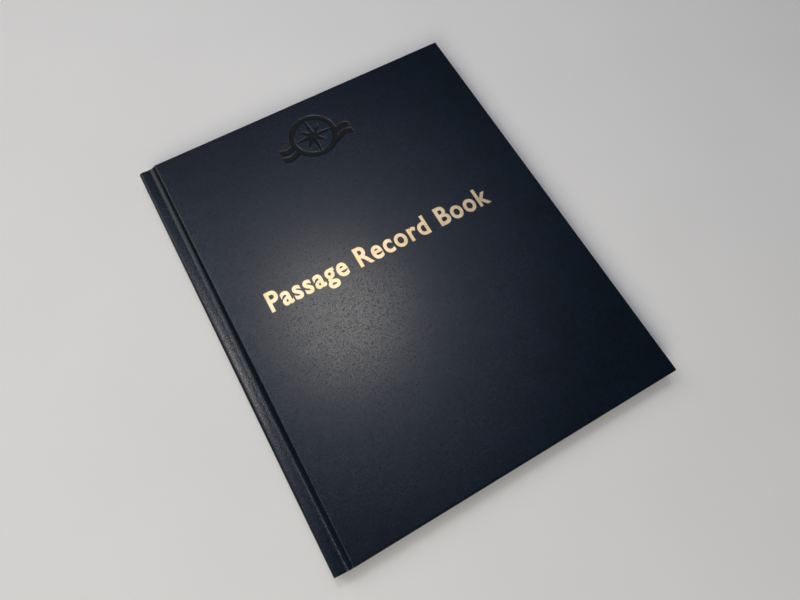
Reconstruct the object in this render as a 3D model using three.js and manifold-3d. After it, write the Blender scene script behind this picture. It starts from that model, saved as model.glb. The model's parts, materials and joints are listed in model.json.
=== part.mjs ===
// A case-bound logbook that lies closed on its back cover. Millimetres, +Z up.
// x runs from the spine (-X) to the fore-edge (+X), y from the tail (-Y) to the head (+Y).
// The origin is at the middle of the book's underside.
import * as THREE from "three";
import { mergeVertices } from "three/addons/utils/BufferGeometryUtils.js";
import Module from "manifold-3d";

const wasm = await Module();
wasm.setup();

// Driving dimensions.
const PAGE_WIDTH = 170;
const PAGE_HEIGHT = 210;
const SQUARE = 3; // how far the boards stand past the pages at head, tail and fore-edge
const BOARD_THICKNESS = 1.9;
const CLOTH_THICKNESS = 0.3;
const TURN_IN_WIDTH = 15;
const TURN_IN_THICKNESS = 0.2; // the cloth is pressed thinner where it is folded inside
const ENDPAPER_THICKNESS = 0.14;
const GLUE_LINE = 0.02; // film between two bonded layers
const SECTION_COUNT = 5;
const SECTION_THICKNESS = 0.88;
const LEAF_THICKNESS = 0.14;
const LEAF_GAP = 0.03; // air between two loose leaves
const LOG_LEAF_COUNT = 4;
const COVER_CLEARANCE = 0.08; // air between the leaves and the inside of each cover
const HINGE_RADIUS = 1.5; // outside radius of the cloth around each corner of the spine
const HINGE_DEPTH = 2.4; // from a cover's outer face in to its hinge line
const HINGE_CLEARANCE = 0.1; // air between the swinging joint cloth and the spine cloth
const FRONT_SHOULDER_ANGLE = 50; // degrees above +X where the spine cloth ends at the front
const BACK_SHOULDER_ANGLE = 78; // degrees below +X where it ends at the back, to swing clear
const JOINT_DEPTH = 1.4; // how far the shoulder's cloth lies below the cover's outer face
const GROOVE_DEPTH = 1.6; // how far the groove's bottom lies below the cover's outer face
const GROOVE_CENTRE = 5.4; // from the spine's outer face
const GROOVE_FLOOR = 0.8; // width of the groove's bottom
const BOARD_SETBACK = 8.8; // from the spine's outer face to the board's inner edge
const EDGE_RADIUS = 0.6; // rounding of the cloth over the board's edges
const SPINE_BOARD_THICKNESS = 0.95;
const SPINE_END_SHORT = 0.5; // how much the spine stops short of the boards at each end
const FOLD_SETBACK = 3.15; // from the spine's outer face to the folds of the sections
const LEAF_SETBACK = 4.0; // from the spine's outer face to the root of a turning leaf
const THREAD_DIAMETER = 0.3;
const LINK_INSET = 0.04; // how much slimmer a kettle stitch is than the runs it links
const MULL_THICKNESS = 0.15;
const LINING_THICKNESS = 0.15;
const SPINE_LAYER_GAP = 0.05;
const BAND_RADIUS = 0.7;
const BAND_FLANGE = 10; // how far a band's cloth flange runs down the spine
const KETTLE_INSET = 14; // from head and tail to the end stitches
const EMBLEM_WIDTH = 39;
const EMBLEM_HEIGHT = 25;
const EMBLEM_DROP = 23; // from the head of the cover to the emblem's centre
const EMBLEM_RECESS = 0.2;
const EMBLEM_FOIL_THICKNESS = 0.06;
const EMBLEM_MARGIN = 0.3; // from the foil's outline to the wall of its recess
// The emblem's strokes, as shares of its height.
const RING_OUTER = 0.5;
const RING_INNER = 0.42;
const STAR_LONG = 0.44; // the long points end inside the ring
const STAR_SHORT = 0.27;
const STAR_WAIST = 0.085;
const WAVE_LEVELS = [-0.08, -0.26];
const WAVE_HEIGHT = 0.035;
const WAVE_STROKE = 0.05;
const WAVE_STEPS = 26;

// Stack heights, from the underside up.
const COVER_STACK =
  CLOTH_THICKNESS + BOARD_THICKNESS + TURN_IN_THICKNESS + ENDPAPER_THICKNESS + 3 * GLUE_LINE;
const FLYLEAF_BOTTOM = COVER_STACK + COVER_CLEARANCE;
const SECTIONS_BOTTOM = FLYLEAF_BOTTOM + LEAF_THICKNESS + LEAF_GAP;
const SECTION_PITCH = SECTION_THICKNESS + LEAF_GAP;
const SECTIONS_TOP = SECTIONS_BOTTOM + SECTION_COUNT * SECTION_PITCH;
const TURNING_LEAVES = LOG_LEAF_COUNT + 2; // the log leaves, the title leaf and the flyleaf
const LEAF_PITCH = LEAF_THICKNESS + LEAF_GAP;
const LEAVES_TOP = SECTIONS_TOP + TURNING_LEAVES * LEAF_PITCH - LEAF_GAP;
const THICKNESS = LEAVES_TOP + COVER_CLEARANCE + COVER_STACK;

// Plan sizes. The book's x is measured from the spine's outer face and then centred.
const COVER_WIDTH = PAGE_WIDTH + SQUARE + SQUARE;
const COVER_HALF_HEIGHT = PAGE_HEIGHT / 2 + SQUARE;
const PAGE_HALF_HEIGHT = PAGE_HEIGHT / 2;
const PAGE_EDGE = COVER_WIDTH - SQUARE;
const SPINE_HALF_HEIGHT = COVER_HALF_HEIGHT - SPINE_END_SHORT;
const CENTRE_X = COVER_WIDTH / 2;

const LEATHERETTE = { color: 0x16202c, roughness: 0.42, metalness: 0 };
const GREYBOARD = { color: 0x8b8477, roughness: 0.95, metalness: 0 };
const ENDPAPER = { color: 0xe9e4d8, roughness: 0.9, metalness: 0 };
const LOG_PAPER = { color: 0xf3f0e7, roughness: 0.88, metalness: 0 };
const LINEN = { color: 0xd8cfba, roughness: 0.95, metalness: 0 };
const KRAFT = { color: 0xa98a5f, roughness: 0.92, metalness: 0 };
const BAND_CLOTH = { color: 0xe6e2d6, roughness: 0.85, metalness: 0 };
const PIGMENT_FOIL = { color: 0x14120f, roughness: 0.5, metalness: 0 };

const logbook = new THREE.Group();
logbook.position.x = -CENTRE_X;

function addPiece(name, geometry, finish) {
  const mesh = new THREE.Mesh(geometry, new THREE.MeshStandardMaterial(finish));
  mesh.name = name;
  logbook.add(mesh);
}

// A block given by its two ends along each axis.
function slab([x0, x1], [y0, y1], [z0, z1]) {
  const block = new THREE.BoxGeometry(x1 - x0, y1 - y0, z1 - z0);
  return block.translate((x0 + x1) / 2, (y0 + y1) / 2, (z0 + z1) / 2);
}

// An XZ outline pulled along Y, from y0 to y1.
function pulledAlongY(outline, y0, y1, curveSegments = 8) {
  const settings = { depth: y1 - y0, bevelEnabled: false, curveSegments };
  const body = new THREE.ExtrudeGeometry(outline, settings);
  return body.rotateX(Math.PI / 2).translate(0, y1, 0);
}

// An XY outline pulled up from z0 to z1.
function pulledUp(outline, z0, z1) {
  const settings = { depth: z1 - z0, bevelEnabled: false, curveSegments: 24 };
  return new THREE.ExtrudeGeometry(outline, settings).translate(0, 0, z0);
}

function toSolid(geometry) {
  const bare = geometry.clone();
  bare.deleteAttribute("normal");
  bare.deleteAttribute("uv");
  const merged = mergeVertices(bare, 1e-4);
  const vertProperties = new Float32Array(merged.attributes.position.array);
  const triVerts = new Uint32Array(merged.index.array);
  return new wasm.Manifold(new wasm.Mesh({ numProp: 3, vertProperties, triVerts }));
}

function toGeometry(solid) {
  const { vertProperties, triVerts } = solid.getMesh();
  const geometry = new THREE.BufferGeometry();
  geometry.setAttribute("position", new THREE.BufferAttribute(vertProperties, 3));
  geometry.setIndex(new THREE.BufferAttribute(triVerts, 1));
  return geometry;
}

function joined(geometries) {
  return geometries.map(toSolid).reduce((sum, next) => sum.add(next));
}

// Turns a piece of the front cover into its twin on the back cover.
function mirroredToBack(geometry) {
  const twin = geometry.index ? geometry.toNonIndexed() : geometry.clone();
  const points = twin.attributes.position;
  for (let i = 0; i < points.count; i += 3) {
    const corners = [0, 2, 1].map((k) => new THREE.Vector3().fromBufferAttribute(points, i + k));
    corners.forEach((p, k) => points.setXYZ(i + k, p.x, p.y, THICKNESS - p.z));
  }
  return twin;
}

// The cover's skin in section, from the shoulder over the groove and the board to the turn-in
// at the fore-edge. With filled set, it is the whole cover's outline instead.
function coverSection(filled) {
  const top = THICKNESS;
  const shoulder = top - JOINT_DEPTH;
  const groove = top - GROOVE_DEPTH;
  const hingeZ = top - HINGE_DEPTH;
  const clear = HINGE_RADIUS + HINGE_CLEARANCE;
  const shoulderBottom = shoulder - CLOTH_THICKNESS - hingeZ;
  const start = HINGE_RADIUS + Math.sqrt(clear ** 2 - shoulderBottom ** 2);
  const grooveStart = GROOVE_CENTRE - GROOVE_FLOOR / 2;
  const grooveEnd = GROOVE_CENTRE + GROOVE_FLOOR / 2;
  const inside = top - COVER_STACK + ENDPAPER_THICKNESS + GLUE_LINE;
  const boardFloor = inside + TURN_IN_THICKNESS;
  const skin = CLOTH_THICKNESS;
  const outline = new THREE.Shape();
  if (filled) {
    outline.moveTo(BOARD_SETBACK, top);
  } else {
    outline.moveTo(start, shoulder);
    outline.lineTo(grooveStart, groove);
    outline.lineTo(grooveEnd, groove);
    outline.lineTo(BOARD_SETBACK, top);
  }
  outline.lineTo(COVER_WIDTH - EDGE_RADIUS, top);
  outline.absarc(COVER_WIDTH - EDGE_RADIUS, top - EDGE_RADIUS, EDGE_RADIUS, Math.PI / 2, 0, true);
  outline.lineTo(COVER_WIDTH, inside);
  if (filled) {
    outline.lineTo(BOARD_SETBACK, inside);
    return outline;
  }
  outline.lineTo(COVER_WIDTH - TURN_IN_WIDTH, inside);
  outline.lineTo(COVER_WIDTH - TURN_IN_WIDTH, boardFloor);
  outline.lineTo(COVER_WIDTH - skin, boardFloor);
  outline.lineTo(COVER_WIDTH - skin, top - skin);
  outline.lineTo(BOARD_SETBACK - skin / 2, top - skin);
  outline.lineTo(grooveEnd, groove - skin);
  outline.lineTo(grooveStart, groove - skin);
  outline.lineTo(start, shoulder - skin);
  return outline;
}

// The leatherette over one board, with its turn-ins at head, tail and fore-edge.
function coverClothSolid() {
  const inside = THICKNESS - COVER_STACK + ENDPAPER_THICKNESS + GLUE_LINE;
  const across = [BOARD_SETBACK, COVER_WIDTH - EDGE_RADIUS];
  const pieces = [pulledAlongY(coverSection(false), -COVER_HALF_HEIGHT, COVER_HALF_HEIGHT)];
  for (const side of [-1, 1]) {
    const spanAlong = (from, to) => [side * from, side * to].sort((a, b) => a - b);
    const wall = spanAlong(COVER_HALF_HEIGHT - CLOTH_THICKNESS, COVER_HALF_HEIGHT);
    const turnIn = spanAlong(COVER_HALF_HEIGHT - TURN_IN_WIDTH, COVER_HALF_HEIGHT);
    pieces.push(pulledAlongY(coverSection(true), wall[0], wall[1]));
    pieces.push(slab(across, turnIn, [inside, inside + TURN_IN_THICKNESS]));
  }
  return joined(pieces);
}

function disc(radius) {
  return new THREE.Shape().absarc(0, 0, radius, 0, 2 * Math.PI, false);
}

// A compass rose in a ring, with two waves on each side. margin widens every stroke.
function emblemSolid(margin, z0, z1) {
  const scaled = (share) => EMBLEM_HEIGHT * share;
  const star = new THREE.Shape();
  for (let i = 0; i < 16; i++) {
    const radius = scaled(i % 2 ? STAR_WAIST : i % 4 ? STAR_SHORT : STAR_LONG) + margin;
    const angle = (i * Math.PI) / 8;
    const point = [Math.cos(angle) * radius, Math.sin(angle) * radius];
    i ? star.lineTo(...point) : star.moveTo(...point);
  }
  const ring = disc(scaled(RING_OUTER) + margin);
  ring.holes.push(disc(scaled(RING_INNER) - margin));
  const half = EMBLEM_WIDTH / 2 + margin;
  const stroke = scaled(WAVE_STROKE) + margin;
  const waves = WAVE_LEVELS.map((level) => {
    const wave = new THREE.Shape();
    const crest = (t) => scaled(level + WAVE_HEIGHT * Math.sin(3 * Math.PI * t));
    for (let i = 0; i <= WAVE_STEPS; i++) {
      const t = (2 * i) / WAVE_STEPS - 1;
      const point = [t * half, crest(t) + stroke];
      i ? wave.lineTo(...point) : wave.moveTo(...point);
    }
    for (let i = WAVE_STEPS; i >= 0; i--) {
      const t = (2 * i) / WAVE_STEPS - 1;
      wave.lineTo(t * half, crest(t) - stroke);
    }
    return pulledUp(wave, z0, z1);
  });
  const ringMiddle = scaled((RING_OUTER + RING_INNER) / 2);
  const inside = toSolid(pulledUp(disc(ringMiddle), z0 - 1, z1 + 1));
  const rose = joined([pulledUp(star, z0, z1), pulledUp(ring, z0, z1)]);
  const centre = [CENTRE_X, COVER_HALF_HEIGHT - EMBLEM_DROP, 0];
  return rose.add(joined(waves).subtract(inside)).translate(centre);
}

function addCovers() {
  const cloth = coverClothSolid();
  const recess = emblemSolid(EMBLEM_MARGIN, THICKNESS - EMBLEM_RECESS, THICKNESS + 1);
  addPiece("front_cover_cloth", toGeometry(cloth.subtract(recess)), LEATHERETTE);
  addPiece("back_cover_cloth", mirroredToBack(toGeometry(cloth)), LEATHERETTE);

  const foilBottom = THICKNESS - EMBLEM_RECESS + GLUE_LINE;
  const foil = emblemSolid(0, foilBottom, foilBottom + EMBLEM_FOIL_THICKNESS);
  addPiece("emblem_foil", toGeometry(foil), PIGMENT_FOIL);

  const inset = CLOTH_THICKNESS + GLUE_LINE;
  const boardTop = THICKNESS - inset;
  const boardAcross = [BOARD_SETBACK, COVER_WIDTH - inset];
  const boardAlong = [-COVER_HALF_HEIGHT + inset, COVER_HALF_HEIGHT - inset];
  const board = slab(boardAcross, boardAlong, [boardTop - BOARD_THICKNESS, boardTop]);
  addPiece("front_board", board, GREYBOARD);
  addPiece("back_board", mirroredToBack(board), GREYBOARD);
}

// The pastedown covers the turn-ins and fills the window between them.
function addPastedowns() {
  const face = THICKNESS - COVER_STACK;
  const over = face + ENDPAPER_THICKNESS;
  const windowInset = TURN_IN_WIDTH + GLUE_LINE;
  const sheet = slab(
    [BOARD_SETBACK, PAGE_EDGE],
    [-PAGE_HALF_HEIGHT, PAGE_HALF_HEIGHT],
    [face, over],
  );
  const fill = slab(
    [BOARD_SETBACK, COVER_WIDTH - windowInset],
    [-COVER_HALF_HEIGHT + windowInset, COVER_HALF_HEIGHT - windowInset],
    [face, over + GLUE_LINE + TURN_IN_THICKNESS],
  );
  const pastedown = toGeometry(joined([sheet, fill]));
  addPiece("front_pastedown", pastedown, ENDPAPER);
  addPiece("back_pastedown", mirroredToBack(pastedown), ENDPAPER);
}

// The spine's cloth runs round both corners. Each corner is an arc about a hinge line.
function addSpine() {
  const corners = [THICKNESS - HINGE_DEPTH, HINGE_DEPTH];
  const frontEnd = (FRONT_SHOULDER_ANGLE * Math.PI) / 180;
  const backEnd = 2 * Math.PI - (BACK_SHOULDER_ANGLE * Math.PI) / 180;
  const inner = HINGE_RADIUS - CLOTH_THICKNESS;
  const cloth = new THREE.Shape();
  cloth.absarc(HINGE_RADIUS, corners[0], HINGE_RADIUS, frontEnd, Math.PI, false);
  cloth.absarc(HINGE_RADIUS, corners[1], HINGE_RADIUS, Math.PI, backEnd, false);
  cloth.absarc(HINGE_RADIUS, corners[1], inner, backEnd, Math.PI, true);
  cloth.absarc(HINGE_RADIUS, corners[0], inner, Math.PI, frontEnd, true);
  const spineCloth = pulledAlongY(cloth, -SPINE_HALF_HEIGHT, SPINE_HALF_HEIGHT);
  addPiece("spine_cloth", spineCloth, LEATHERETTE);

  const boardStart = CLOTH_THICKNESS + GLUE_LINE;
  const stiffener = slab(
    [boardStart, boardStart + SPINE_BOARD_THICKNESS],
    [-SPINE_HALF_HEIGHT + SPINE_END_SHORT, SPINE_HALF_HEIGHT - SPINE_END_SHORT],
    [corners[1], corners[0]],
  );
  addPiece("spine_stiffener", stiffener, GREYBOARD);
}

// A section is a gathering of folded sheets, rounded at the fold.
function addSections() {
  for (let i = 0; i < SECTION_COUNT; i++) {
    const z0 = SECTIONS_BOTTOM + i * SECTION_PITCH;
    const middle = z0 + SECTION_THICKNESS / 2;
    const radius = SECTION_THICKNESS / 2;
    const outline = new THREE.Shape();
    outline.moveTo(PAGE_EDGE, z0);
    outline.lineTo(PAGE_EDGE, z0 + SECTION_THICKNESS);
    outline.absarc(FOLD_SETBACK + radius, middle, radius, Math.PI / 2, 1.5 * Math.PI, false);
    const section = pulledAlongY(outline, -PAGE_HALF_HEIGHT, PAGE_HALF_HEIGHT);
    addPiece(`section_${i + 1}`, section, LOG_PAPER);
  }
}

function leafAt(bottom, root) {
  const along = [-PAGE_HALF_HEIGHT, PAGE_HALF_HEIGHT];
  return slab([root, PAGE_EDGE], along, [bottom, bottom + LEAF_THICKNESS]);
}

// From the top down: the flyleaf, the title leaf and the first log leaves.
function addLeaves() {
  addPiece("back_flyleaf", leafAt(FLYLEAF_BOTTOM, FOLD_SETBACK), ENDPAPER);
  const names = ["front_flyleaf", "title_leaf"];
  for (let i = 1; i <= LOG_LEAF_COUNT; i++) names.push(`log_leaf_${i}`);
  names.forEach((name, i) => {
    const bottom = LEAVES_TOP - LEAF_THICKNESS - i * LEAF_PITCH;
    addPiece(name, leafAt(bottom, LEAF_SETBACK), i ? LOG_PAPER : ENDPAPER);
  });
}

// Behind the folds, from the pages out: sewing, mull and bands, then the lining paper.
function addSewing() {
  const threadBack = FOLD_SETBACK - SPINE_LAYER_GAP;
  const threadAcross = [threadBack - THREAD_DIAMETER, threadBack];
  const kettle = PAGE_HALF_HEIGHT - KETTLE_INSET;
  const stitches = [];
  for (let i = 0; i < SECTION_COUNT; i++) {
    const middle = SECTIONS_BOTTOM + i * SECTION_PITCH + SECTION_THICKNESS / 2;
    const rise = [middle - THREAD_DIAMETER / 2, middle + THREAD_DIAMETER / 2];
    stitches.push(slab(threadAcross, [-kettle, kettle], rise));
  }
  const height = [SECTIONS_BOTTOM, SECTIONS_TOP - SPINE_LAYER_GAP];
  const linkAcross = [threadAcross[0] + LINK_INSET, threadAcross[1] - LINK_INSET];
  for (const side of [-kettle, kettle]) {
    stitches.push(slab(linkAcross, [side - THREAD_DIAMETER, side + THREAD_DIAMETER], height));
  }
  addPiece("sewing_thread", toGeometry(joined(stitches)), LINEN);

  const mullBack = threadAcross[0] - SPINE_LAYER_GAP;
  const mullAcross = [mullBack - MULL_THICKNESS, mullBack];
  const bandStart = PAGE_HALF_HEIGHT - BAND_FLANGE;
  const mullEnd = bandStart - SPINE_LAYER_GAP;
  addPiece("mull", slab(mullAcross, [-mullEnd, mullEnd], height), LINEN);

  const bandY = PAGE_HALF_HEIGHT + BAND_RADIUS + SPINE_LAYER_GAP;
  const bandTop = LEAVES_TOP - LEAF_PITCH;
  for (const [name, side] of [["headband", 1], ["tailband", -1]]) {
    const bead = new THREE.CylinderGeometry(BAND_RADIUS, BAND_RADIUS, bandTop - height[0], 20);
    bead.rotateX(Math.PI / 2).translate(
      mullAcross[0] + BAND_RADIUS,
      side * bandY,
      (bandTop + height[0]) / 2,
    );
    const along = side > 0 ? [bandStart, bandY] : [-bandY, -bandStart];
    const flange = slab(mullAcross, along, height);
    addPiece(name, toGeometry(joined([bead, flange])), BAND_CLOTH);
  }

  const liningBack = mullAcross[0] - SPINE_LAYER_GAP;
  const liningEnd = PAGE_HALF_HEIGHT - 1;
  const liningAcross = [liningBack - LINING_THICKNESS, liningBack];
  addPiece("spine_lining", slab(liningAcross, [-liningEnd, liningEnd], height), KRAFT);
}

addCovers();
addPastedowns();
addSpine();
addSections();
addLeaves();
addSewing();

export default logbook;
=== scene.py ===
# %% [markdown]
# # A case-bound logbook
# A hardback logbook lies closed on a table. Its case is two greyboards and a spine strip under
# one sheet of navy leatherette, with a dark stamped emblem and a gold foil title. Inside are
# sewn sections of ruled paper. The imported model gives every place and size, and this lesson
# gives each piece its final surface.

# %% Load the frame
import json
import math

import bpy
import numpy as np
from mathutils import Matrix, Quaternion, Vector


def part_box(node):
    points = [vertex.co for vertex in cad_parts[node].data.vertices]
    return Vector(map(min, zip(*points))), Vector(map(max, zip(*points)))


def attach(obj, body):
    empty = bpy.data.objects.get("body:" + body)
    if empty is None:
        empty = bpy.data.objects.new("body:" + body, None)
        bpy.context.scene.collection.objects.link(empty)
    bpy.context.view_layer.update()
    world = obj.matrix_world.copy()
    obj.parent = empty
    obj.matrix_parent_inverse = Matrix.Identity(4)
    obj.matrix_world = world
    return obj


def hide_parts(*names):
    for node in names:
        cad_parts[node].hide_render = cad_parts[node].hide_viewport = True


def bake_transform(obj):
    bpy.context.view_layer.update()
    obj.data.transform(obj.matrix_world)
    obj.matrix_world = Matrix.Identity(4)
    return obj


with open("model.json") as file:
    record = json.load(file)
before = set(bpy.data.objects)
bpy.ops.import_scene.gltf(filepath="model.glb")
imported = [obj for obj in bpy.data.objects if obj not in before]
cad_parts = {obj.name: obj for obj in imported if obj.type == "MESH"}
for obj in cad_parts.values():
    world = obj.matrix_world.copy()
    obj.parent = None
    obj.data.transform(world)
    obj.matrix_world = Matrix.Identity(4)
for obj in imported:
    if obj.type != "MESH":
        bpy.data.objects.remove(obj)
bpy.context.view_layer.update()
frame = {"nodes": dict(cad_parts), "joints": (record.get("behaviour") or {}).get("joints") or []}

print("pieces in the frame:", sorted(frame["nodes"]))

# %% [markdown]
# ## The book's own measures
# The pieces are laid out in millimetres, with x measured from the outside of the spine, as a
# binder would. The main sizes are read from the frame, and the small ones, such as how deep the
# joint is pressed, are named here. `place` turns a point into the frame's metres.

# %% Measures
MM = 0.001
cloth_low, cloth_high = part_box("front_cover_cloth")
spine_low, spine_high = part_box("spine_cloth")
SPINE_X = spine_low.x / MM
WIDTH = cloth_high.x / MM - SPINE_X
HALF_HEIGHT = cloth_high.y / MM
THICKNESS = cloth_high.z / MM
SPINE_SHORT = HALF_HEIGHT - spine_high.y / MM
joint_places = {j["name"]: Vector(j["pos_m"]) / MM for j in frame["joints"]}
FRONT_HINGE_Z = joint_places["front_joint"].z
CORNER_RADIUS = joint_places["front_joint"].x - SPINE_X
CLOTH = 0.3
COVER_DEPTH = THICKNESS - cloth_low.z / MM
JOINT_CLOTH_DEPTH = 0.7
GROOVE_X = 5.4
GROOVE_DEPTH = 1.6
FLANK_END_X = 8.95
TURN_IN = 15.0
EDGE_RADIUS = 0.7


def place(x, y, z):
    """A point of the book, in millimetres from the outside of the spine, in the frame."""
    return ((x + SPINE_X) * MM, y * MM, z * MM)


print(f"case {WIDTH:.1f} x {2 * HALF_HEIGHT:.1f} x {THICKNESS:.2f} mm, cover {COVER_DEPTH:.2f} mm")

# %% [markdown]
# ## Camera
# The book is seen from above its tail end, near the spine, through a moderately wide lens. A
# camera can be placed by a spot to stand on and a spot to look at. Here it is also tipped a
# little about its own line of sight, as a camera held in the hand is.

# %% Camera
CAMERA_MM = (-57.1, -96.7, 271.4)
AIM_MM = (-3.6, -13.4, 0.0)
ROLL_DEGREES = 3.3
LENS_MM = 26.43
SENSOR_MM = 36.0

camera = bpy.data.objects.new("camera", bpy.data.cameras.new("camera"))
camera.location = Vector(CAMERA_MM) * MM
line_of_sight = (Vector(AIM_MM) - Vector(CAMERA_MM)).to_track_quat("-Z", "Y")
roll = Quaternion((0, 0, 1), math.radians(ROLL_DEGREES))
camera.rotation_mode = "QUATERNION"
camera.rotation_quaternion = line_of_sight @ roll
camera.data.lens = LENS_MM
camera.data.sensor_width = SENSOR_MM
camera.data.clip_start = 10 * MM
bpy.context.scene.collection.objects.link(camera)
bpy.context.scene.camera = camera
print("camera at", CAMERA_MM, "looking at", AIM_MM)

# %% [markdown]
# ## Colours and nodes
# Paint and cloth colours are known as sRGB hex values, but shaders work in linear light, so one
# function converts them. Another sets a node's inputs, and a third adds a node with its settings
# and links. An input takes a number, a colour, another node or one of its outputs, which keeps
# each material short enough to read.

# %% Colour and node helpers


def linear(hex_colour):
    """An sRGB hex colour as linear red, green, blue and alpha."""
    srgb = [int(hex_colour[i:i + 2], 16) / 255 for i in (0, 2, 4)]
    return [c / 12.92 if c <= 0.04045 else ((c + 0.055) / 1.055) ** 2.4 for c in srgb] + [1.0]


def connect(node, **inputs):
    """Sets a node's inputs by name, or by number as _0. Nodes and outputs are linked."""
    for key, value in inputs.items():
        name = int(key[1:]) if key[1:].isdigit() else key.replace("_", " ")
        if isinstance(value, bpy.types.Node):
            value = value.outputs[0]
        if isinstance(value, bpy.types.NodeSocket):
            node.id_data.links.new(value, node.inputs[name])
        else:
            node.inputs[name].default_value = value


def add(tree, kind, settings=None, stops=(), **inputs):
    """Adds a node with its settings, its colour stops and its inputs."""
    node = tree.nodes.new(kind)
    for key, value in (settings or {}).items():
        setattr(node, key, value)
    for i, (position, hex_colour) in enumerate(stops):
        node.color_ramp.elements[i].position = position
        node.color_ramp.elements[i].color = linear(hex_colour)
    connect(node, **inputs)
    return node


def new_material(name):
    """A node material, its tree and its Principled shader."""
    material = bpy.data.materials.new(name)
    material.use_nodes = True
    tree = material.node_tree
    return material, tree, tree.nodes["Principled BSDF"]


print("navy in linear light:", [round(c, 4) for c in linear("0C1624")[:3]])

# %% [markdown]
# ## Leatherette
# Cover material of this kind is paper or cloth coated with PVC or acrylic and rolled with an
# engraved grain, so it looks like fine goatskin. The grain is cells about 0.7 mm across with
# narrow valleys, slightly longer across the cover than along it, over a soft unevenness of the
# board several millimetres wide. The valleys are duller than the tops, and their colour is
# darker as painted shade in the hollows. Coated cloth has an IOR near 1.5, and the lower value
# here gives this one its quieter sheen. The flat unwrapped sheet is kept as a UV map in metres,
# so the grain stays with the cloth when it bends.

# %% Leatherette
GRAIN_MM = 0.7
CREASE_MM = 1.6
SWELL_MM = 14.0


def make_leatherette():
    """Navy coated cloth with a fine pebbled grain and painted shade in its valleys, laid out along
    the flat sheet.
    """
    material, tree, shader = new_material("navy_leatherette")
    sheet = add(tree, "ShaderNodeUVMap", {"uv_map": "sheet"})
    wobble = add(tree, "ShaderNodeTexNoise", Vector=sheet, Scale=1 / (3 * MM), Detail=3.0)
    shift = add(tree, "ShaderNodeVectorMath", {"operation": "SUBTRACT"},
                _0=wobble.outputs["Color"], _1=(0.5, 0.5, 0.5))
    pushed = add(tree, "ShaderNodeVectorMath", {"operation": "MULTIPLY_ADD"},
                 _0=shift, _1=(1.1 * MM, 1.1 * MM, 0.0), _2=sheet)
    grain_place = add(tree, "ShaderNodeMapping", Vector=pushed, Scale=(0.62, 1.0, 1.0))
    cells = add(tree, "ShaderNodeTexVoronoi", {"feature": "DISTANCE_TO_EDGE"},
                Vector=grain_place, Scale=1 / (GRAIN_MM * MM))
    tops = add(tree, "ShaderNodeMapRange", {"interpolation_type": "SMOOTHSTEP"},
               Value=cells.outputs["Distance"], From_Min=0.0, From_Max=0.12)
    crease_place = add(tree, "ShaderNodeMapping", Vector=pushed, Scale=(0.45, 1.0, 1.0))
    creases = add(tree, "ShaderNodeTexNoise", Vector=crease_place,
                  Scale=1 / (CREASE_MM * MM), Detail=4.0, Roughness=0.62)
    swell = add(tree, "ShaderNodeTexNoise", Vector=sheet, Scale=1 / (SWELL_MM * MM), Detail=2.0)

    # The colour is darker in the grain's valleys, which is painted shade in the hollows, and also
    # darker where the board's swell is low.
    tone = add(tree, "ShaderNodeMath", {"operation": "MULTIPLY"}, _0=tops, _1=swell)
    colour = add(tree, "ShaderNodeValToRGB", stops=[(0.0, "02090F"), (0.6, "07131E")], Fac=tone)
    dull = add(tree, "ShaderNodeMapRange", Value=tops, To_Min=0.33, To_Max=0.225)
    uneven = add(tree, "ShaderNodeMapRange", Value=creases, To_Min=-0.05, To_Max=0.05)
    rough = add(tree, "ShaderNodeMath", {"operation": "ADD"}, _0=dull, _1=uneven)
    board = add(tree, "ShaderNodeBump", Strength=0.12, Distance=0.3 * MM, Height=swell)
    folds = add(tree, "ShaderNodeBump", Strength=0.4, Distance=0.1 * MM, Height=creases,
                Normal=board)
    pebble = add(tree, "ShaderNodeBump", Strength=0.3, Distance=0.035 * MM, Height=tops,
                 Normal=folds)
    connect(shader, Base_Color=colour, Roughness=rough, Normal=pebble, IOR=1.4)
    return material


leatherette = make_leatherette()
print("leatherette grain", GRAIN_MM, "mm")

# %% [markdown]
# ## Foils
# Both marks are hot-stamped films. The emblem is a dark pigment foil pressed into the cloth. It
# is matt and almost black, so it stays dark where the cloth round it shines, and its low IOR
# keeps it duller than the cloth. The title is gold-coloured metallised foil, which mirrors
# whatever light it sees, so it turns from near white to tan across the cover, and the grain
# below shows through it as fine pits.

# %% Foils


def make_pigment_foil():
    """Dark stamping foil for the emblem, faintly mottled."""
    material, tree, shader = new_material("dark_pigment_foil")
    where = add(tree, "ShaderNodeTexCoord").outputs["Object"]
    mottle = add(tree, "ShaderNodeTexNoise", Vector=where, Scale=1 / (2.2 * MM), Detail=4.0)
    colour = add(tree, "ShaderNodeValToRGB", stops=[(0.3, "090807"), (0.75, "100E0D")], Fac=mottle)
    rough = add(tree, "ShaderNodeMapRange", Value=mottle, To_Min=0.58, To_Max=0.72)
    pits = add(tree, "ShaderNodeTexNoise", Vector=where, Scale=1 / (0.5 * MM), Detail=2.0)
    bump = add(tree, "ShaderNodeBump", Strength=0.3, Distance=0.03 * MM, Height=pits)
    connect(shader, Base_Color=colour, Roughness=rough, Normal=bump, IOR=1.3)
    return material


def make_gold_foil():
    """Metal stamping foil for the title, with small pits and wear."""
    material, tree, shader = new_material("gold_stamping_foil")
    where = add(tree, "ShaderNodeTexCoord").outputs["Object"]
    pits = add(tree, "ShaderNodeTexNoise", Vector=where, Scale=1 / (0.55 * MM), Detail=3.0)
    wear = add(tree, "ShaderNodeTexNoise", Vector=where, Scale=1 / (6 * MM), Detail=3.0)
    colour = add(tree, "ShaderNodeValToRGB", stops=[(0.3, "D6B98A"), (0.7, "E6CFA8")], Fac=wear)
    rough = add(tree, "ShaderNodeMapRange", Value=pits, To_Min=0.36, To_Max=0.52)
    bump = add(tree, "ShaderNodeBump", Strength=0.5, Distance=0.03 * MM, Height=pits)
    connect(shader, Base_Color=colour, Roughness=rough, Normal=bump, Metallic=1.0)
    return material


pigment_foil = make_pigment_foil()
gold_foil = make_gold_foil()
print("foils:", pigment_foil.name, gold_foil.name)

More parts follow.
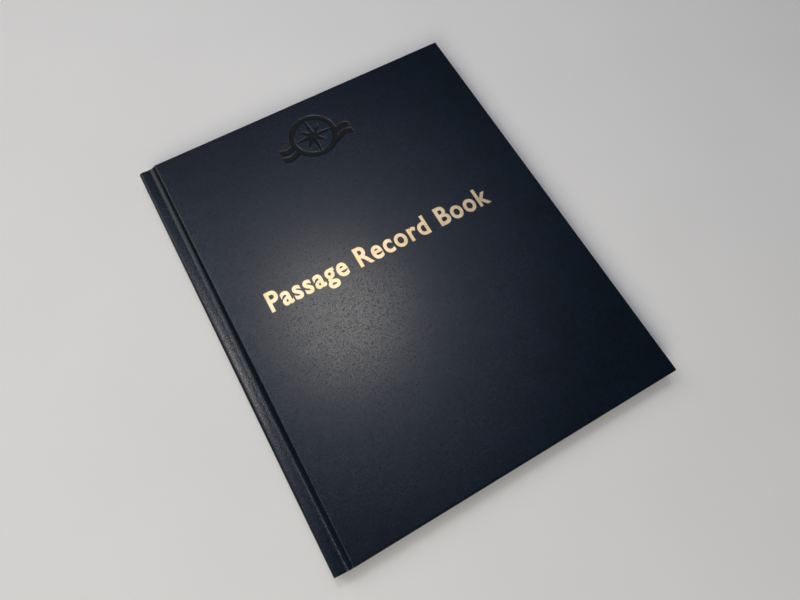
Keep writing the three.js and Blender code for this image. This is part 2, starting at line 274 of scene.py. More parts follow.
# %% [markdown]
# ## Papers and boards
# The endpapers are a heavy cream stock, and the spine is lined with brown kraft paper. Their
# fibres show as a faint mottle and a soft tooth. Greyboard is pressed waste paper, so it is
# speckled. One function makes them all from two colours and a fibre size.

# %% Papers and boards


def paper_base(name, pale, dark, fibre_mm):
    """A mottled, slightly toothed paper: its parts come back, so print can be laid over it."""
    material, tree, shader = new_material(name)
    where = add(tree, "ShaderNodeTexCoord").outputs["Object"]
    fibre = add(tree, "ShaderNodeTexNoise", Vector=where, Scale=1 / (fibre_mm * MM), Detail=5.0)
    colour = add(tree, "ShaderNodeValToRGB", stops=[(0.3, dark), (0.7, pale)], Fac=fibre)
    bump = add(tree, "ShaderNodeBump", Strength=0.25, Distance=0.02 * MM, Height=fibre)
    rough = add(tree, "ShaderNodeMapRange", Value=fibre, To_Min=0.8, To_Max=0.95)
    connect(shader, Base_Color=colour, Roughness=rough, Normal=bump)
    return material, tree, shader, colour


endpaper = paper_base("cream_endpaper", "EBE6DA", "E3DDCF", 1.2)[0]
greyboard = paper_base("pressed_greyboard", "9A9385", "7B7468", 0.7)[0]
kraft = paper_base("kraft_lining_paper", "B39467", "9F8055", 0.8)[0]
print("papers:", endpaper.name, greyboard.name, kraft.name)

# %% [markdown]
# ## Ruled log pages
# Log paper is an uncoated offset sheet, printed with a plain ruled table in grey-blue: a tinted
# header band, rows 8 mm apart and a few columns. The lines are worked out from the page's own
# flat layout, so every leaf carries the same table.

# %% Ruled log pages
ROW_MM = 8.0
RULE_MM = 0.25
TABLE_MIDDLE_MM = (2.5, -4.0)
TABLE_HALF_MM = (74.5, 92.0)
COLUMN_MM = (-72.0, -50.0, -14.0, 22.0, 40.0, 58.0, 77.0)
HEADER_TINT = 0.28


def make_log_paper():
    """Uncoated paper printed with a ruled table, laid out on the page's own UV map in metres."""
    compare, multiply, maximum = ({"operation": o} for o in ("COMPARE", "MULTIPLY", "MAXIMUM"))
    material, tree, shader, paper = paper_base("ruled_log_paper", "F4F1E8", "EFEBE0", 0.9)
    page = add(tree, "ShaderNodeUVMap", {"uv_map": "sheet"})
    parts = add(tree, "ShaderNodeSeparateXYZ", Vector=page)
    across, along = parts.outputs["X"], parts.outputs["Y"]
    spans = [add(tree, "ShaderNodeMath", compare, _0=way, _1=middle * MM, _2=half * MM)
             for way, middle, half in zip((across, along), TABLE_MIDDLE_MM, TABLE_HALF_MM)]
    on_table = add(tree, "ShaderNodeMath", multiply, _0=spans[0], _1=spans[1])
    table_top = (TABLE_MIDDLE_MM[1] + TABLE_HALF_MM[1]) * MM
    down = add(tree, "ShaderNodeMath", {"operation": "SUBTRACT"}, _0=table_top, _1=along)
    row = add(tree, "ShaderNodeMath", {"operation": "DIVIDE"}, _0=down, _1=ROW_MM * MM)
    row_share = add(tree, "ShaderNodeMath", {"operation": "FRACT"}, _0=row)
    rules = add(tree, "ShaderNodeMath", {"operation": "LESS_THAN"}, _0=row_share,
                _1=RULE_MM / ROW_MM)
    for column in COLUMN_MM:
        line = add(tree, "ShaderNodeMath", compare, _0=across, _1=column * MM,
                   _2=RULE_MM / 2 * MM)
        rules = add(tree, "ShaderNodeMath", maximum, _0=rules, _1=line)
    header = add(tree, "ShaderNodeMath", {"operation": "LESS_THAN"}, _0=row, _1=1.0)
    tint = add(tree, "ShaderNodeMath", multiply, _0=header, _1=HEADER_TINT)
    ink = add(tree, "ShaderNodeMath", maximum, _0=rules, _1=tint)
    printed = add(tree, "ShaderNodeMath", multiply, _0=ink, _1=on_table)
    mixed = add(tree, "ShaderNodeMix", {"data_type": "RGBA"}, Factor=printed,
                _6=paper.outputs["Color"], _7=linear("8E9CAF"))
    connect(shader, Base_Color=mixed.outputs[2])
    return material


log_paper = make_log_paper()
print("rows", int(2 * TABLE_HALF_MM[1] / ROW_MM), "of", ROW_MM, "mm")

# %% [markdown]
# ## Threads, gauze and tape
# Mull is an open starched gauze with a thread about every 0.9 mm, and the bands are sewn to a
# closer cotton tape. Both are drawn as crossing waves at their thread spacing. Sewing thread is
# twisted linen, so its waves run slantwise. A wave texture at scale 1 repeats every
# WAVE_LENGTH metres, which turns a thread spacing into a scale.

# %% Threads, gauze and tape
WAVE_LENGTH = 2 * math.pi / 20


def make_woven(name, thread, gap, spacing_mm, slant=0.0):
    """Cloth with a thread every spacing_mm both ways, turned by slant radians."""
    material, tree, shader = new_material(name)
    where = add(tree, "ShaderNodeTexCoord").outputs["Object"]
    turned = add(tree, "ShaderNodeMapping", Vector=where, Rotation=(slant, 0.0, 0.0))
    threads = [add(tree, "ShaderNodeTexWave", {"bands_direction": direction}, Vector=turned,
                   Scale=WAVE_LENGTH / (spacing_mm * MM), Distortion=0.6, Detail=1.0)
               for direction in ("Y", "Z")]
    height = add(tree, "ShaderNodeMath", {"operation": "MAXIMUM"},
                 _0=threads[0].outputs["Fac"], _1=threads[1].outputs["Fac"])
    colour = add(tree, "ShaderNodeValToRGB", stops=[(0.35, gap), (0.8, thread)], Fac=height)
    bump = add(tree, "ShaderNodeBump", Strength=0.6, Distance=0.08 * MM, Height=height)
    connect(shader, Base_Color=colour, Normal=bump, Roughness=0.9)
    return material


mull_gauze = make_woven("starched_mull_gauze", "E5DFCF", "B9B09A", 0.9)
band_tape = make_woven("cotton_band_tape", "E9E4D6", "CFC7B4", 0.4)
linen_thread = make_woven("waxed_linen_thread", "E3D9C2", "B8AB8D", 0.5, slant=0.6)
print("woven:", mull_gauze.name, band_tape.name, linen_thread.name)

# %% [markdown]
# ## Mesh helpers
# Every new piece is a list of points and faces. One helper builds the object, keeps the flat
# layout as the UV map named sheet, and gives it a material.

# %% Mesh helpers


def make_piece(name, points, faces, material, layout=None, smooth=True):
    """A mesh object from points in the book's millimetres, with an optional flat layout."""
    mesh = bpy.data.meshes.new(name)
    mesh.from_pydata([place(*p) for p in points], [], faces)
    if layout is not None:
        uv = mesh.uv_layers.new(name="sheet")
        flat = np.array(layout, float) * MM
        corners = np.zeros(len(mesh.loops), int)
        mesh.loops.foreach_get("vertex_index", corners)
        uv.data.foreach_set("uv", flat[corners].ravel())
    mesh.materials.append(material)
    mesh.polygons.foreach_set("use_smooth", [smooth] * len(mesh.polygons))
    mesh.update()
    piece = bpy.data.objects.new(name, mesh)
    bpy.context.scene.collection.objects.link(piece)
    return piece


def apply_modifiers(piece):
    """Bakes a piece's modifiers into its mesh."""
    bpy.context.view_layer.update()
    graph = bpy.context.evaluated_depsgraph_get()
    final = bpy.data.meshes.new_from_object(piece.evaluated_get(graph))
    piece.modifiers.clear()
    piece.data = final
    return piece


def eased(t):
    """A smooth step from 0 to 1."""
    t = min(1.0, max(0.0, t))
    return t * t * (3 - 2 * t)


print("helpers ready")

# %% [markdown]
# ## The section of the case
# Seen from the tail, the cloth climbs the flat spine, rounds its corner about the hinge line,
# slopes down a shoulder into the pressed groove, and curves up ever more steeply to the board's
# edge. So the crease and the ridge each catch the light as a thin line, and the cloth between
# them stays dark. Each stretch is a short formula, and the path carries on flat to the
# fore-edge. Smooth shading blends the light between neighbouring columns, so the columns stand
# close wherever the cloth turns sharply. Round the emblem they are a quarter of a millimetre
# apart.

# %% Section of the case
SHOULDER_Z = FRONT_HINGE_Z + CORNER_RADIUS
EMBLEM_WIDTH = 39.0
EMBLEM_HEIGHT = 25.0
EMBLEM_DROP = 23.0
EMBLEM_X = WIDTH / 2
EMBLEM_Y = HALF_HEIGHT - EMBLEM_DROP
EMBLEM_BORDER = 1.2
FINE_STEP = 0.25
SHOULDER_BEND = 1.35
FLANK_BEND = 1.9
COARSE_STEP = 5.0
CRISP_STEP = 0.55
SPINE_STEP = 1.0
CORNER_STEPS = 12
SHOULDER_STEPS = 14
FLANK_STEPS = 18


def spaced(start, end, step):
    """Evenly spaced values from start up to, but not including, end."""
    count = max(1, round((end - start) / step))
    return [start + (end - start) * i / count for i in range(count)]


def stretches(start, end, centre, reach, fine):
    """Values from start to end: close at both ends, and very close round the emblem."""
    stops, steps = [start, start + CRISP_STEP], [CRISP_STEP]
    if fine:
        stops += [centre - reach, centre + reach]
        steps += [COARSE_STEP, FINE_STEP]
    stops += [end - CRISP_STEP, end]
    steps += [COARSE_STEP, CRISP_STEP]
    values = []
    for low, high, step in zip(stops, stops[1:], steps):
        values += spaced(low, high, step)
    return values + [end]


def case_path(fine):
    """Points (x, z) of the cloth's outer face, from the middle of the spine to the fore-edge."""
    path = [(0.0, z) for z in spaced(THICKNESS / 2, FRONT_HINGE_Z, SPINE_STEP)]
    for i in range(CORNER_STEPS):
        angle = math.pi - math.pi / 2 * i / CORNER_STEPS
        path.append((CORNER_RADIUS * (1 + math.cos(angle)),
                     FRONT_HINGE_Z + CORNER_RADIUS * math.sin(angle)))
    groove_z = THICKNESS - GROOVE_DEPTH
    for i in range(SHOULDER_STEPS):
        t = i / SHOULDER_STEPS
        path.append((CORNER_RADIUS + (GROOVE_X - CORNER_RADIUS) * t,
                     SHOULDER_Z + (groove_z - SHOULDER_Z) * t ** SHOULDER_BEND))
    for i in range(FLANK_STEPS):
        t = i / FLANK_STEPS
        path.append((GROOVE_X + (FLANK_END_X - GROOVE_X) * t,
                     THICKNESS - GROOVE_DEPTH * (1 - t ** FLANK_BEND)))
    reach = EMBLEM_WIDTH / 2 + EMBLEM_BORDER
    flat = stretches(FLANK_END_X, WIDTH - EDGE_RADIUS, EMBLEM_X, reach, fine)
    return path + [(x, THICKNESS) for x in flat]


def rows_along(fine):
    """Distances along the book, from the head to the tail, for the rows of the grid."""
    edge = HALF_HEIGHT - EDGE_RADIUS
    reach = EMBLEM_HEIGHT / 2 + EMBLEM_BORDER
    return list(reversed(stretches(-edge, edge, EMBLEM_Y, reach, fine)))


print("path of", len(case_path(True)), "points by", len(rows_along(True)), "rows")

# %% [markdown]
# ## The stamped emblem
# The emblem is a compass rose in a ring, with two waves on each side. The stamp presses the
# cloth down a fifth of a millimetre inside the outline, and the cloth rolls over at the edge,
# which is what catches the light. The distance from each grid point to the outline gives that
# wall directly.

# %% Stamp
STAMP_DEPTH = 0.2
STAMP_WALL = (0.04, 0.34)
STAR_WAIST = 0.085
STAR_SHORT = 0.27
STAR_LONG = 0.44
RING_OUTER = 0.5
RING_INNER = 0.42
WAVE_STROKE = 0.05
WAVE_HEIGHT = 0.035
WAVE_LEVELS = (-0.08, -0.26)


def star_distance(x, y):
    """Distance in millimetres outside the eight-pointed star, negative inside."""
    corners = []
    for i in range(16):
        share = STAR_WAIST if i % 2 else STAR_SHORT if i % 4 else STAR_LONG
        angle = math.pi * i / 8
        corners.append((math.cos(angle) * share * EMBLEM_HEIGHT,
                        math.sin(angle) * share * EMBLEM_HEIGHT))
    nearest = np.full(x.shape, 1e9)
    inside = np.zeros(x.shape, bool)
    for (ax, ay), (bx, by) in zip(corners, corners[1:] + corners[:1]):
        ex, ey = bx - ax, by - ay
        t = np.clip(((x - ax) * ex + (y - ay) * ey) / (ex * ex + ey * ey), 0, 1)
        nearest = np.minimum(nearest, np.hypot(x - ax - t * ex, y - ay - t * ey))
        crosses = (ay > y) != (by > y)
        edge_x = ax + (y - ay) * ex / (ey if ey else 1e-9)
        inside ^= crosses & (x < edge_x)
    return np.where(inside, -nearest, nearest)


def emblem_distance(x, y):
    """Distance outside the whole emblem, for points measured from its centre."""
    radius = np.hypot(x, y)
    middle = (RING_OUTER + RING_INNER) / 2 * EMBLEM_HEIGHT
    ring = np.abs(radius - middle) - (RING_OUTER - RING_INNER) / 2 * EMBLEM_HEIGHT
    nearest = np.minimum(star_distance(x, y), ring)
    half = EMBLEM_WIDTH / 2
    for level in WAVE_LEVELS:
        crest = EMBLEM_HEIGHT * (level + WAVE_HEIGHT * np.sin(3 * math.pi * x / half))
        beside = np.abs(y - crest) - WAVE_STROKE * EMBLEM_HEIGHT
        beyond = np.maximum(beside, np.maximum(np.abs(x) - half, middle - radius))
        nearest = np.minimum(nearest, beyond)
    return nearest


def stamped(x, y):
    """How far the stamp presses the cloth down at each point."""
    distance = emblem_distance(x - EMBLEM_X, y - EMBLEM_Y)
    low, high = STAMP_WALL
    t = np.clip((distance - low) / (high - low), 0, 1)
    return STAMP_DEPTH * (1 - t * t * (3 - 2 * t))


print("stamp", STAMP_DEPTH, "mm deep")

# %% [markdown]
# ## How the cloth folds
# A binder lays one sheet of leatherette over the case, rolls it over the head, fore-edge and
# tail, takes it down the board's edge and turns in 15 mm inside. At the joint and the spine
# there is no board, so there the cloth folds straight back on itself. Each ring of points
# follows the rim of the cover, a little further round the fold than the one before.

# %% Rings of the fold
ROLL_STEPS = 5
UNDER_STEPS = 3
FAN_STEPS = 5
INNER_RADIUS = 0.3
BOARD_EDGE_EASE = 1.2
FLAP_REACHES = (EDGE_RADIUS, 2.0, 5.0, 10.0, TURN_IN)


def fold_depth(x):
    """From the cloth's outer face to its turned-in face, which is deeper where a board lies."""
    on_board = eased((x - FLANK_END_X) / BOARD_EDGE_EASE + 1)
    return JOINT_CLOTH_DEPTH + (COVER_DEPTH - JOINT_CLOTH_DEPTH) * on_board


def fold_stages():
    """The rings in order: over the edge, round under it, then in across the inside."""
    stages = [("roll", math.pi / 2 * k / ROLL_STEPS) for k in range(ROLL_STEPS + 1)]
    stages += [("under", math.pi / 2 * k / UNDER_STEPS) for k in range(UNDER_STEPS + 1)]
    return stages + [("flap", reach) for reach in FLAP_REACHES]


def case_rim(columns, count):
    """Grid places along the head, down the fore-edge and back along the tail, each with its
    way out. The corners fan round."""
    last = columns - 1
    fan = [math.pi / 2 * f / FAN_STEPS for f in range(1, FAN_STEPS)]
    rim = [(i, 0, 0.0, 1.0) for i in range(columns)]
    rim += [(last, 0, math.sin(a), math.cos(a)) for a in fan]
    rim += [(last, j, 1.0, 0.0) for j in range(count)]
    rim += [(last, count - 1, math.cos(a), -math.sin(a)) for a in fan]
    return rim + [(i, count - 1, 0.0, -1.0) for i in range(last, -1, -1)]


def fold_offset(kind, amount, depth):
    """How far out a ring stands from the case's edge, and how far below the outer face."""
    radius = min(EDGE_RADIUS, depth / 2)
    lower = min(INNER_RADIUS, depth / 2)
    if kind == "roll":
        return radius * math.sin(amount) - radius, radius * (1 - math.cos(amount))
    if kind == "under":
        return lower * math.cos(amount) - lower, depth - lower + lower * math.sin(amount)
    return -amount, depth


print("rings in the fold:", len(fold_stages()))

# %% [markdown]
# ## Measuring along the case
# Three things are worked out once for the whole path: the way out at each point, which the fold
# follows inwards, the length of cloth used so far, which lays the grain out flat, and how much
# shorter the spine is than the boards.

# %% Path measures and rings


def path_measures(path):
    """The way out, the length so far and the share of the full height, for each path point."""
    normals, run = [], [0.0]
    for i in range(len(path)):
        (ax, az), (bx, bz) = path[max(0, i - 1)], path[min(len(path) - 1, i + 1)]
        length = math.hypot(bx - ax, bz - az)
        normals.append((-(bz - az) / length, (bx - ax) / length))
    for (ax, az), (bx, bz) in zip(path, path[1:]):
        run.append(run[-1] + math.hypot(bx - ax, bz - az))
    shrink = [1 - SPINE_SHORT / HALF_HEIGHT * (1 - eased(x / FLANK_END_X)) for x, _ in path]
    return normals, run, shrink


def fold_ring(path, rows, measures, kind, amount):
    """One ring of the fold: its points, and where they lie on the flat sheet."""
    normals, run, shrink = measures
    points, layout = [], []
    for i, j, out_x, out_y in case_rim(len(path), len(rows)):
        (x, z), (nx, nz) = path[i], normals[i]
        reach, down = fold_offset(kind, amount, fold_depth(x))
        y = rows[j] * shrink[i]
        new_x = x + out_x * (reach + EDGE_RADIUS)
        new_y = y + out_y * (reach + EDGE_RADIUS)
        if kind == "flap":
            limit = HALF_HEIGHT - amount
            along_fore_edge = max(-limit, min(limit, y))
            new_x = WIDTH - amount if out_x > 0 else min(x, WIDTH - amount)
            new_y = along_fore_edge if out_x == 1.0 else math.copysign(limit * shrink[i], y)
        points.append([new_x - nx * down, new_y, z - nz * down])
        travel = EDGE_RADIUS + reach if kind == "roll" else EDGE_RADIUS + down - reach
        layout.append((run[i] + out_x * travel, rows[j] + out_y * travel))
    return points, layout


front_run = path_measures(case_path(True))[1][-1]
print(f"cloth over the face, from the middle of the spine: {front_run:.1f} mm")

# %% [markdown]
# ## Case cloth
# The sheet is a grid over the face, with the stamp pressed into the front one, and then the
# rings round its rim. Solidify gives it its real thickness. The back cover is the same piece
# mirrored. The two halves meet in the middle of the spine, and each rounds its corner about its
# own hinge line.

# %% Case cloth
WELD_GAP = 0.01


def case_cloth(name, front):
    """Half of the case's cloth, from the middle of the spine to the turn-ins."""
    path, rows = case_path(front), rows_along(front)
    measures = path_measures(path)
    _, run, shrink = measures
    columns, count = len(path), len(rows)
    points = [[x, y * k, z] for y in rows for (x, z), k in zip(path, shrink)]
    layout = [(s, y) for y in rows for s in run]
    if front:
        grid = np.array(points)
        grid[:, 2] -= stamped(grid[:, 0], grid[:, 1])
        points = grid.tolist()
    corners = [j * columns + i for j in range(count - 1) for i in range(columns - 1)]
    faces = [(a, a + columns, a + columns + 1, a + 1) for a in corners]

    before = [j * columns + i for i, j, _, _ in case_rim(columns, count)]
    for kind, amount in fold_stages():
        ring_points, ring_layout = fold_ring(path, rows, measures, kind, amount)
        ring = range(len(points), len(points) + len(ring_points))
        points += ring_points
        layout += ring_layout
        for a, b, c, d in zip(before, before[1:], ring[1:], ring):
            faces.append((a, b, c, d) if a != b else (b, c, d))
        before = ring

    if not front:
        points = [[x, y, THICKNESS - z] for x, y, z in points]
        faces = [tuple(reversed(f)) for f in faces]
    piece = make_piece(name, points, faces, leatherette, layout)
    weld = piece.modifiers.new("weld", "WELD")
    weld.merge_threshold = WELD_GAP * MM
    skin = piece.modifiers.new("skin", "SOLIDIFY")
    skin.thickness = CLOTH * MM
    skin.offset = -1.0
    return apply_modifiers(piece)


front_cloth = case_cloth("front_case_cloth", True)
back_cloth = case_cloth("back_case_cloth", False)
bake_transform(front_cloth)
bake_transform(back_cloth)
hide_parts("front_cover_cloth")
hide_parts("back_cover_cloth", "spine_cloth")
for cloth_half in (front_cloth, back_cloth):
    print(cloth_half.name, len(cloth_half.data.polygons), "faces")

# %% [markdown]
# ## Emblem foil and title
# The emblem's foil keeps its exact shape from the frame, at the bottom of the stamp. The title is
# set in the built-in font, swollen into a bold weight and scaled to its length and height, then
# laid as a thin film centred on the cover. Generic words stand in for a title. The first letter
# is a capital, so its height sets the scale.

# %% Emblem and title
TITLE_WORDS = "Passage Record Book"
TITLE_LENGTH = 121.6
TITLE_CAP_HEIGHT = 10.6
TITLE_BASELINE = 6.6
TITLE_WEIGHT = 0.024
LETTER_SPACING = 1.12
FIRST_LETTER_SHARE = 0.05
FILM = 0.03


def title_film():
    """The title as a thin mesh, scaled to its printed length and height."""
    words = bpy.data.curves.new("title_words", "FONT")
    words.body = TITLE_WORDS
    words.offset = TITLE_WEIGHT
    words.space_character = LETTER_SPACING
    words.resolution_u = 8
    words.extrude = 0.5
    drawn = bpy.data.objects.new("title_words", words)
    bpy.context.scene.collection.objects.link(drawn)
    bpy.context.view_layer.update()
    graph = bpy.context.evaluated_depsgraph_get()
    mesh = bpy.data.meshes.new_from_object(drawn.evaluated_get(graph))
    bpy.data.objects.remove(drawn)
    co = np.array([v.co for v in mesh.vertices])
    low, high = co.min(0), co.max(0)
    capital = co[co[:, 0] < low[0] + (high[0] - low[0]) * FIRST_LETTER_SHARE]
    cap_height = capital[:, 1].max() - capital[:, 1].min()
    foot = capital[:, 1].min()
    co[:, 0] = (co[:, 0] - (low[0] + high[0]) / 2) * TITLE_LENGTH / (high[0] - low[0])
    co[:, 1] = (co[:, 1] - foot) * TITLE_CAP_HEIGHT / cap_height + TITLE_BASELINE
    co[:, 2] = (co[:, 2] + 0.5) * FILM + THICKNESS - FILM / 3
    for vertex, (x, y, z) in zip(mesh.vertices, co):
        vertex.co = place(x + WIDTH / 2, y, z)
    mesh.materials.clear()
    mesh.materials.append(gold_foil)
    title = bpy.data.objects.new("title_foil", mesh)
    bpy.context.scene.collection.objects.link(title)
    return title


title = title_film()
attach(title, "front_cover")
print("title faces:", len(title.data.polygons))

# %% [markdown]
# ## Leaves that turn
# A leaf is a thin sheet held in the fold, and once turned it rolls over at the sewing and lies
# flat beyond it, about half a circle round. Each sheet is a closed grid in the place of the
# frame's leaf, with very close columns at the fold line, where a turned leaf bends tightly.

# %% Turning leaves
LEAF_ROOT = 3.3
LEAF_BEND_END = 3.7
FOLD_STEP = 0.03
PAGE_STEP = 12.0
turning_leaves = [j["child"] for j in frame["joints"] if j["name"].endswith("_turn")]


def leaf_sheet(node):
    """A closed thin sheet in the place of a leaf, reaching into the fold."""
    low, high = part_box(node)
    z0, z1 = low.z / MM, high.z / MM
    edge = high.x / MM - SPINE_X
    half = high.y / MM
    columns = spaced(LEAF_ROOT, LEAF_BEND_END, FOLD_STEP) + spaced(LEAF_BEND_END, edge, PAGE_STEP)
    columns.append(edge)
    rows = spaced(-half, half, PAGE_STEP) + [half]
    points, layout, faces = [], [], []
    for z in (z0, z1):
        for y in rows:
            for x in columns:
                points.append((x, y, z))
                layout.append((x - WIDTH / 2, y))
    wide, tall = len(columns), len(rows)
    layer = wide * tall
    for j in range(tall - 1):
        for i in range(wide - 1):
            a = j * wide + i
            faces.append((a, a + wide, a + wide + 1, a + 1))
            faces.append((layer + a, layer + a + 1, layer + a + wide + 1, layer + a + wide))
    rim = list(range(wide))
    rim += [j * wide + wide - 1 for j in range(1, tall)]
    rim += [(tall - 1) * wide + i for i in range(wide - 2, -1, -1)]
    rim += [j * wide for j in range(tall - 2, 0, -1)]
    for a, b in zip(rim, rim[1:] + rim[:1]):
        faces.append((a, b, layer + b, layer + a))
    material = endpaper if node == "front_flyleaf" else log_paper
    return make_piece(node + "_sheet", points, faces, material, layout, smooth=False)


for node in turning_leaves:
    sheet = leaf_sheet(node)
    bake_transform(sheet)
    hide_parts(node)
print("turning leaves:", turning_leaves)

# %% [markdown]
# ## Sewn sections
# A section is four sheets folded together, so it has eight leaves and one rounded fold. Its
# outline is a comb: eight thin leaves that part beyond the fold. The trimmed edges differ by a
# few hundredths of a millimetre, which is what makes the fore-edge look like paper. The random
# numbers start from a fixed seed, so the book comes out the same each time.

# %% Sewn sections
LEAVES_IN_SECTION = 8
PARTING = 0.018
PARTING_START = 14.0
TRIM_SCATTER = 0.06
FOLD_SIDES = 8
trim = np.random.default_rng(7)


def section_block(node):
    """One section as a comb outline pulled from tail to head."""
    low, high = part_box(node)
    z0, z1 = low.z / MM, high.z / MM
    start, edge = low.x / MM - SPINE_X, high.x / MM - SPINE_X
    half = high.y / MM
    radius = (z1 - z0) / 2
    outline = []
    for k in range(FOLD_SIDES + 1):
        angle = math.pi / 2 + math.pi * k / FOLD_SIDES
        outline.append((start + radius + radius * math.cos(angle),
                        z0 + radius + radius * math.sin(angle)))
    pitch = (z1 - z0) / LEAVES_IN_SECTION
    for k in range(LEAVES_IN_SECTION):
        leaf_edge = edge - TRIM_SCATTER * float(trim.random())
        bottom = z0 + k * pitch + (PARTING / 2 if k else 0)
        top = z0 + (k + 1) * pitch - (PARTING / 2 if k < LEAVES_IN_SECTION - 1 else 0)
        outline += [(leaf_edge, bottom), (leaf_edge, top)]
        if k < LEAVES_IN_SECTION - 1:
            outline.append((PARTING_START, z0 + (k + 1) * pitch))
    size = len(outline)
    points = [(x, -half, z) for x, z in outline] + [(x, half, z) for x, z in outline]
    layout = [(x - WIDTH / 2, y) for x, y, _ in points]
    faces = [tuple(range(size)), tuple(range(2 * size - 1, size - 1, -1))]
    for a in range(size):
        b = (a + 1) % size
        faces.append((b, a, size + a, size + b))
    return make_piece(node + "_leaves", points, faces, log_paper, layout, smooth=False)


section_nodes = sorted(n for n in frame["nodes"] if n.startswith("section_"))
for node in section_nodes:
    block = section_block(node)
    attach(block, "back_cover")
    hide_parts(node)
print("sections:", len(section_nodes), "of", LEAVES_IN_SECTION, "leaves")

# %% [markdown]
# ## Head and tail bands
# A band is a cotton tape with a bead of silk wound over a core along one edge, in two colours.
# The tape is glued down the spine and the bead hides the ends of the sections. The bead is a
# tube whose radius swells at each turn of the silk, and the turns take the colours in pairs.

# %% Head and tail bands
SILK_TURN = 0.42
SILK_SIDES = 14
RINGS_PER_TURN = 4
TURNS_PER_COLOUR = 2
BEAD_SWELL = 0.13
BOX_FACES = ((0, 1, 3, 2), (4, 6, 7, 5), (0, 4, 5, 1), (2, 3, 7, 6), (0, 2, 6, 4), (1, 5, 7, 3))


def make_silk(name, pale, dark):
    """Band silk, whose fine strands run from the dark tone to the pale one."""
    material, tree, shader = new_material(name)
    where = add(tree, "ShaderNodeTexCoord").outputs["Object"]
    strands = add(tree, "ShaderNodeTexNoise", Vector=where, Scale=1 / (0.25 * MM), Detail=2.0)
    tone = add(tree, "ShaderNodeValToRGB", stops=[(0.2, dark), (0.8, pale)], Fac=strands)
    bump = add(tree, "ShaderNodeBump", Strength=0.4, Distance=0.02 * MM, Height=strands)
    connect(shader, Base_Color=tone, Normal=bump, Roughness=0.55, Sheen_Weight=0.3)
    return material


white_silk = make_silk("white_band_silk", "F0EDE4", "DAD6CA")
navy_silk = make_silk("navy_band_silk", "22304A", "141F33")
TAPE_FRONT_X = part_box("mull")[1].x / MM - SPINE_X


def bead_tube(centre_x, centre_y, radius, z0, z1):
    """Points and faces of the bead, which swells at each turn of the silk."""
    rings = round((z1 - z0) / SILK_TURN) * RINGS_PER_TURN
    points, faces = [], []
    for k in range(rings + 1):
        dip = 0.5 + 0.5 * math.cos(2 * math.pi * k / RINGS_PER_TURN)
        swollen = radius * (1 - BEAD_SWELL * dip)
        for s in range(SILK_SIDES):
            angle = 2 * math.pi * s / SILK_SIDES
            points.append((centre_x + swollen * math.cos(angle),
                           centre_y + swollen * math.sin(angle),
                           z0 + (z1 - z0) * k / rings))
    for k in range(rings):
        for s in range(SILK_SIDES):
            a, b = k * SILK_SIDES + s, k * SILK_SIDES + (s + 1) % SILK_SIDES
            faces.append((a, b, b + SILK_SIDES, a + SILK_SIDES))
    faces.append(tuple(range(SILK_SIDES - 1, -1, -1)))
    faces.append(tuple(rings * SILK_SIDES + s for s in range(SILK_SIDES)))
    return points, faces


def wound_band(node):
    """The wound bead and its tape, in the place of a band."""
    low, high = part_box(node)
    x0, z0, z1 = low.x / MM - SPINE_X, low.z / MM, high.z / MM
    radius = (high.x - low.x) / MM / 2
    side = 1 if high.y > 0 else -1
    outer_y = max(abs(low.y), abs(high.y)) / MM
    centre_y = side * (outer_y - radius)
    points, faces = bead_tube(x0 + radius, centre_y, radius, z0, z1)
    wound = len(faces) - 2
    tape_y = side * min(abs(low.y), abs(high.y)) / MM
    first = len(points)
    points += [(x, y, z) for x in (x0, TAPE_FRONT_X) for y in (tape_y, centre_y) for z in (z0, z1)]
    for box_face in BOX_FACES:
        face = tuple(first + corner for corner in box_face)
        faces.append(face if side > 0 else face[::-1])
    band = make_piece(node + "_wound", points, faces, white_silk)
    band.data.materials.append(navy_silk)
    band.data.materials.append(band_tape)
    stripe = SILK_SIDES * RINGS_PER_TURN * TURNS_PER_COLOUR
    for k, polygon in enumerate(band.data.polygons):
        polygon.material_index = (k // stripe) % 2 if k < wound else 0
        if polygon.vertices[0] >= first:
            polygon.material_index = 2
            polygon.use_smooth = False
    return band


for node in ("headband", "tailband"):
    band = wound_band(node)
    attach(band, "back_cover")
    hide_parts(node)
print("bands wound every", SILK_TURN, "mm")

# %% [markdown]
# ## Finishes for the pieces kept from the frame
# The boards, pastedowns, linings and the stamped foil already have their true shape, so they
# only take a material. Pieces without the sheet map use paper that needs none.

# %% Finishes
finishes = {
    "emblem_foil": pigment_foil, "front_board": greyboard, "back_board": greyboard,
    "spine_stiffener": greyboard, "front_pastedown": endpaper, "back_pastedown": endpaper,
    "back_flyleaf": endpaper, "mull": mull_gauze, "sewing_thread": linen_thread,
    "spine_lining": kraft,
}
for node, material in finishes.items():
    cad_piece = frame["nodes"][node]
    cad_piece.data.materials.clear()
    cad_piece.data.materials.append(material)
print("finished:", sorted(finishes))

# %% [markdown]
# ## Stage and light
# The book lies on a plain pale surface. A small soft light stands beyond the head, where the
# cover mirrors it as a glow left of the middle, and a larger bluish one just behind it makes a
# halo round the glow. A narrow strip on the spine's side picks out the joint. A window on the
# left and a dim room light the table, and the soft shadows fall along the fore-edge and the tail.

# %% Stage and light
FLOOR_SIZE = 3.0


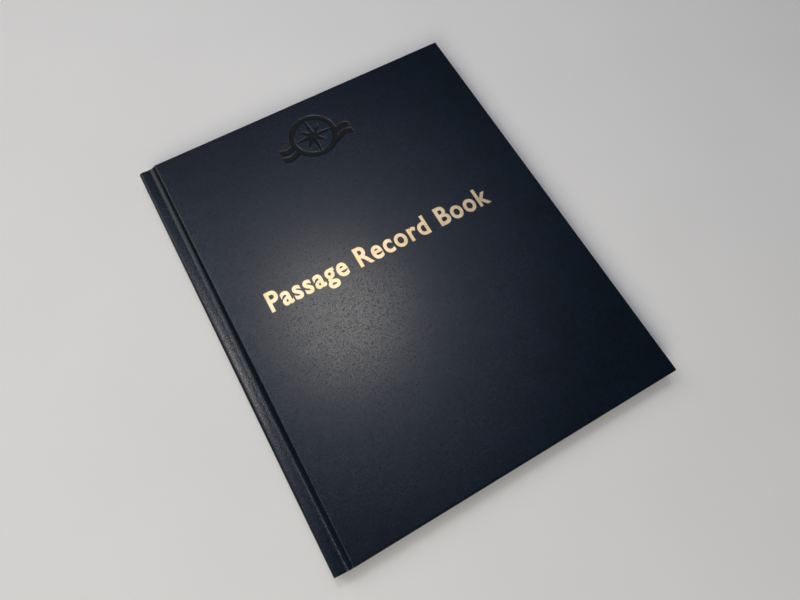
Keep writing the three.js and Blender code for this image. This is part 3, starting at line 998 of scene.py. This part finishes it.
def make_floor():
    """The plain surface under the book, faintly mottled."""
    material, tree, shader = new_material("matt_white_laminate")
    where = add(tree, "ShaderNodeTexCoord").outputs["Object"]
    mottle = add(tree, "ShaderNodeTexNoise", Vector=where, Scale=12.0, Detail=2.0)
    tone = add(tree, "ShaderNodeValToRGB", stops=[(0.3, "DDDAD3"), (0.7, "E0DDD6")], Fac=mottle)
    connect(shader, Base_Color=tone, Roughness=0.75)
    half = FLOOR_SIZE / 2
    mesh = bpy.data.meshes.new("table_top")
    corners = [(-half, -half, 0), (half, -half, 0), (half, half, 0), (-half, half, 0)]
    mesh.from_pydata(corners, [], [(0, 1, 2, 3)])
    mesh.materials.append(material)
    floor = bpy.data.objects.new("table_top", mesh)
    bpy.context.scene.collection.objects.link(floor)
    return floor


make_floor()


def soft_light(name, at, towards, size, watts, colour, length=None):
    """A round soft light, or a strip of the given length and width."""
    lamp = bpy.data.lights.new(name, "AREA")
    lamp.shape = "RECTANGLE" if length else "DISK"
    lamp.size = length or size
    lamp.size_y = size
    lamp.energy = watts
    lamp.color = linear(colour)[:3]
    holder = bpy.data.objects.new(name, lamp)
    holder.location = at
    holder.rotation_mode = "QUATERNION"
    holder.rotation_quaternion = (Vector(towards) - Vector(at)).to_track_quat("-Z", "Y")
    bpy.context.scene.collection.objects.link(holder)
    return holder


GLOW_MM = (-33.0, -9.0, THICKNESS)
KEY_DISTANCE = 0.82
HALO_DISTANCE = KEY_DISTANCE * 1.05
glow = Vector(GLOW_MM) * MM
to_camera = (camera.location - glow).normalized()
mirrored = Vector((-to_camera.x, -to_camera.y, to_camera.z))
soft_light("key", glow + mirrored * KEY_DISTANCE, glow, size=0.2, watts=1.25, colour="FFF8EE")
soft_light("halo", glow + mirrored * HALO_DISTANCE, glow, size=0.8, watts=1.4, colour="BCD0FF")
soft_light("left_window", (-0.75, -0.85, 0.8), (0, 0, 0), size=0.7, watts=9.6, colour="FFFDF8")
soft_light("strip", (-0.5, 0.2, 0.9), (-0.08, 0, 0), size=0.07, watts=2.2, colour="F2F5FF",
           length=1.0)
soft_light("room", (-0.7, 0.8, 0.9), (0, 0, 0), size=0.8, watts=3.2, colour="FFFCF6")

world = bpy.data.worlds.new("surround")
world.use_nodes = True
connect(world.node_tree.nodes["Background"], Color=linear("C4D4F4"), Strength=0.06)
bpy.context.scene.world = world
bpy.context.scene.view_settings.view_transform = "Standard"
